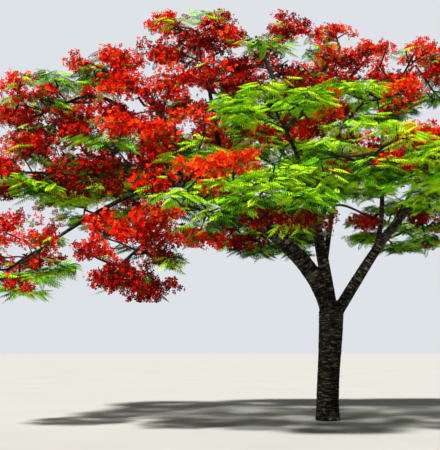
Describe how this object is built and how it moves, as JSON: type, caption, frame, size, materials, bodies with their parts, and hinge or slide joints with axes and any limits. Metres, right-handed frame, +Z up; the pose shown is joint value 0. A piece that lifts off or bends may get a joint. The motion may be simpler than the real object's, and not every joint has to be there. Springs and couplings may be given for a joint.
{
  "type": "flame tree",
  "caption": "Wide flat-topped tree in full bloom: a short trunk forks into arching boughs under layered masses of feathery leaves and scarlet blossom.",
  "frame": {"origin": "middle of the flat cut under the trunk, at ground level", "axes": "+Z up; -Y is the side the tree is mostly seen from, so that -X is its left, where the crown reaches furthest"},
  "size_m": [13.1126, 10.6036, 9.2143],
  "materials": {
    "bark": "rough dark grey-brown bark with fine level wrinkles",
    "blossom": "matt scarlet petals with orange-scarlet lights",
    "leaf": "matt feathery bright green leaves"
  },
  "bodies": {
    "root": {"trunk": "bark", "centre_stem": "bark", "left_bough": "bark", "right_bough": "bark", "back_bough": "bark", "left_mid_bough": "bark", "left_low_bough": "bark", "left_hang_bough": "bark", "front_left_bough": "bark", "centre_left_bough": "bark", "shoulder_bough": "bark", "left_arch_bough": "bark", "left_top_bough": "bark", "top_tuft_bough": "bark", "back_left_out_bough": "bark", "back_left_bough": "bark", "mid_centre_bough": "bark", "top_right_bough": "bark", "front_mid_bough": "bark", "heart_bough": "bark", "front_low_bough": "bark", "front_right_bough": "bark", "right_green_bough": "bark", "back_top_bough": "bark", "right_top_bough": "bark", "right_low_bough": "bark", "right_out_bough": "bark", "right_back_bough": "bark", "back_right_low_bough": "bark", "back_low_bough": "bark", "top_centre": "blossom", "left_crown": "blossom", "right_crown": "leaf", "back_crown": "leaf", "left_mid": "blossom", "left_low": "blossom", "left_hang": "blossom", "front_left": "leaf", "centre_left": "blossom", "shoulder": "blossom", "left_arch": "blossom", "left_top": "blossom", "top_tuft": "blossom", "back_left_out": "blossom", "back_left": "blossom", "mid_centre": "blossom", "top_right": "blossom", "front_mid": "leaf", "heart": "leaf", "front_low": "leaf", "front_right": "leaf", "right_green": "leaf", "back_top": "blossom", "right_top": "blossom", "right_low": "leaf", "right_out": "leaf", "right_back": "leaf", "back_right_low": "leaf", "back_low": "leaf"}
  },
  "joints": []
}
